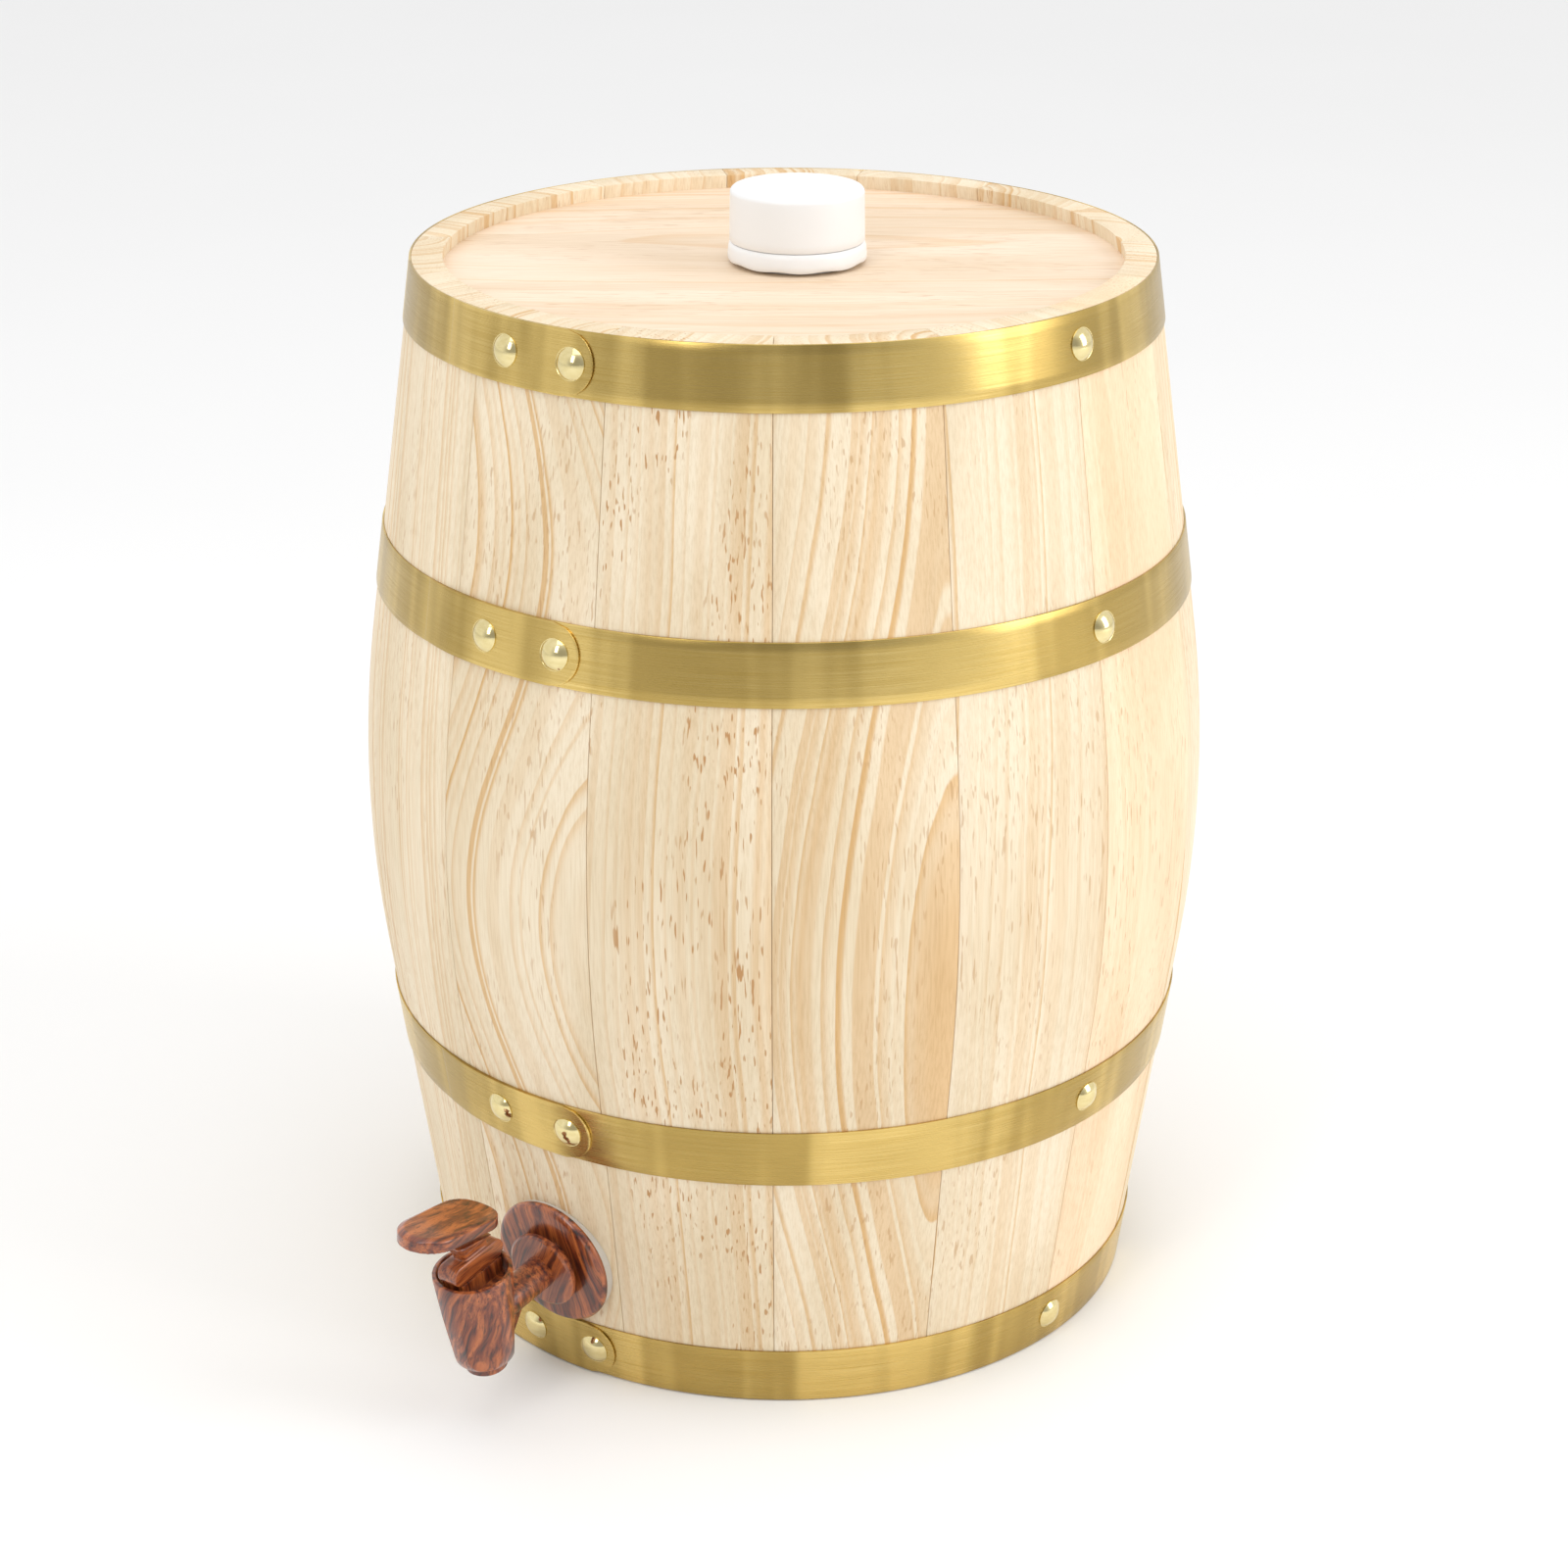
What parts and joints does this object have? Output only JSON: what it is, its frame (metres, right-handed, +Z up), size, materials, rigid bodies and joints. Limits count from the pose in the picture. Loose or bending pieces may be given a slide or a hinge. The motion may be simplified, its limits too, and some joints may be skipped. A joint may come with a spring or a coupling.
{
  "type": "barrel drink dispenser",
  "caption": "Upright pine barrel of bound staves with a screw-capped inner bladder and a press tap low on one side.",
  "frame": {"origin": "centre of the barrel's base circle, on the surface it stands on", "axes": "+Z up along the barrel's axis, -Y towards the tap, +X to the right of a person who stands facing the tap"},
  "size_m": [0.3028, 0.3625, 0.4053],
  "materials": {
    "pine_stave": "planed, unvarnished",
    "pine_head": "planed, unvarnished",
    "hoop_strip": "brushed",
    "nail_brass": "polished",
    "white_moulding": "smooth moulded",
    "bladder_film": "blown, translucent",
    "seal_rubber": "silicone",
    "tap_plastic": "rosewood print under gloss",
    "black_moulding": "moulded",
    "spring_steel": "bright"
  },
  "bodies": {
    "root": {"stave_01": "pine_stave", "stave_02": "pine_stave", "stave_03": "pine_stave", "stave_04": "pine_stave", "stave_05": "pine_stave", "stave_06": "pine_stave", "stave_07": "pine_stave", "stave_08": "pine_stave", "stave_09": "pine_stave", "stave_10": "pine_stave", "stave_11": "pine_stave", "stave_12": "pine_stave", "stave_13": "pine_stave", "stave_14": "pine_stave", "stave_15": "pine_stave", "top_head_board_1": "pine_head", "top_head_board_2": "pine_head", "top_head_board_3": "pine_head", "bottom_head_board_1": "pine_head", "bottom_head_board_2": "pine_head", "bottom_head_board_3": "pine_head", "hoop_top": "hoop_strip", "hoop_upper": "hoop_strip", "hoop_lower": "hoop_strip", "hoop_bottom": "hoop_strip", "hoop_nails_top": "nail_brass", "hoop_nails_upper": "nail_brass", "hoop_nails_lower": "nail_brass", "hoop_nails_bottom": "nail_brass", "liner_bladder": "bladder_film", "liner_neck": "white_moulding", "cap_tamper_ring": "white_moulding", "tap_outer_gasket": "seal_rubber", "tap_escutcheon": "tap_plastic", "tap_body": "tap_plastic", "tap_inner_gasket": "seal_rubber", "tap_lock_nut": "black_moulding", "tap_bonnet": "tap_plastic", "stem_oring": "seal_rubber"},
    "cap_lifter": {"cap_seal_wad": "seal_rubber"},
    "cap_shell": {"cap": "white_moulding"},
    "stem": {"valve_stem": "white_moulding", "stem_seal": "seal_rubber", "stem_spring": "spring_steel"},
    "lever": {"tap_lever": "tap_plastic", "lever_pin": "spring_steel"}
  },
  "joints": [
    {"name": "cap_lift", "type": "slide", "parent": "root", "child": "cap_lifter", "axis": [0, 0, 1], "range_m": [0, 0.0105]},
    {"name": "cap_turn", "type": "hinge", "parent": "cap_lifter", "child": "cap_shell", "pos_m": [0.0037, 0.0027, 0.395], "axis": [0, 0, 1], "range_deg": [0, 900]},
    {"name": "stem_lift", "type": "slide", "parent": "root", "child": "stem", "axis": [0, -0.1391, 0.9903], "range_m": [0, 0.005], "deforming": ["stem_spring"]},
    {"name": "lever_press", "type": "hinge", "parent": "stem", "child": "lever", "pos_m": [0, -0.18037, 0.06662], "axis": [1, 0, 0], "range_deg": [0, 30], "stiffness_Nm_per_rad": 0.6, "springref_deg": -11.46}
  ],
  "couplings": [
    {"joint": "cap_lift", "follows": "cap_turn", "m_per_rad": 0.00063662},
    {"joint": "stem_lift", "follows": "lever_press", "m_per_rad": 0.0091}
  ]
}
